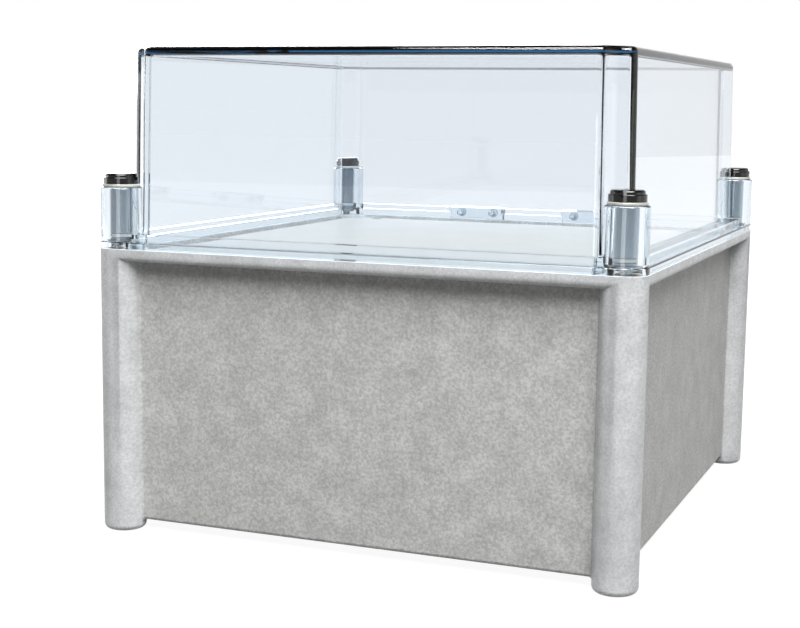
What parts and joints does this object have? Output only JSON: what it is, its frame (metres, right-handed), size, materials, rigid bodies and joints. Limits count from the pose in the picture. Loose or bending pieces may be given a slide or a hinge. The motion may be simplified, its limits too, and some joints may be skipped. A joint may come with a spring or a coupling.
{
  "type": "hinged polycarbonate enclosure",
  "caption": "Deep box enclosure with a light grey base on round corner posts and a tall clear cover, hinged behind and held by quarter-turn screws in towers at the corners.",
  "frame": {"origin": "middle of the wall-fixing hole pattern, on the plane of the feet that meets the wall or table", "axes": "+Z out of the wall towards the clear cover, -Y towards the side that opens, +Y towards the hinges, +X to the right as seen from the opening side"},
  "size_m": [0.28, 0.3095, 0.245],
  "materials": {
    "grey_polycarbonate": "fine-grained light grey moulded polycarbonate",
    "clear_polycarbonate": "clear polycarbonate with a faint blue tint",
    "head_black": "glossy black plastic",
    "washer_nylon": "pale natural nylon",
    "foamed_seal": "soft pale foamed seal",
    "screw_steel": "bright stainless steel",
    "insert_brass": "turned brass",
    "painted_plate": "sheet steel painted white"
  },
  "bodies": {
    "base": {"enclosure_base": "grey_polycarbonate", "post_inserts": "insert_brass", "cover_gasket": "foamed_seal", "mounting_plate": "painted_plate", "plate_inserts": "insert_brass", "plate_screws": "screw_steel", "hinge_base_leaf_left": "grey_polycarbonate", "hinge_base_leaf_right": "grey_polycarbonate", "hinge_base_screws": "screw_steel", "hinge_pin_left": "screw_steel", "hinge_pin_right": "screw_steel"},
    "cover": {"clear_cover": "clear_polycarbonate", "hinge_cover_leaf_left": "clear_polycarbonate", "hinge_cover_leaf_right": "clear_polycarbonate", "hinge_cover_screws": "washer_nylon", "head_washers": "washer_nylon", "screw_retainers": "screw_steel"},
    "screw_front_left": {"cover_screw_front_left": "screw_steel", "screw_head_front_left": "head_black", "screw_seal_front_left": "foamed_seal"},
    "screw_front_right": {"cover_screw_front_right": "screw_steel", "screw_head_front_right": "head_black", "screw_seal_front_right": "foamed_seal"},
    "screw_rear_left": {"cover_screw_rear_left": "screw_steel", "screw_head_rear_left": "head_black", "screw_seal_rear_left": "foamed_seal"},
    "screw_rear_right": {"cover_screw_rear_right": "screw_steel", "screw_head_rear_right": "head_black", "screw_seal_rear_right": "foamed_seal"}
  },
  "joints": [
    {"name": "cover_hinge", "type": "hinge", "parent": "base", "child": "cover", "pos_m": [0, 0.1555, 0.139], "axis": [-1, 0, 0], "range_deg": [0, 110]},
    {"name": "turn_front_left", "type": "hinge", "parent": "cover", "child": "screw_front_left", "pos_m": [-0.12925, -0.13925, 0.18], "axis": [0, 0, -1], "range_deg": [0, 90]},
    {"name": "turn_front_right", "type": "hinge", "parent": "cover", "child": "screw_front_right", "pos_m": [0.12925, -0.13925, 0.18], "axis": [0, 0, -1], "range_deg": [0, 90]},
    {"name": "turn_rear_left", "type": "hinge", "parent": "cover", "child": "screw_rear_left", "pos_m": [-0.12925, 0.13925, 0.18], "axis": [0, 0, -1], "range_deg": [0, 90]},
    {"name": "turn_rear_right", "type": "hinge", "parent": "cover", "child": "screw_rear_right", "pos_m": [0.12925, 0.13925, 0.18], "axis": [0, 0, -1], "range_deg": [0, 90]}
  ]
}
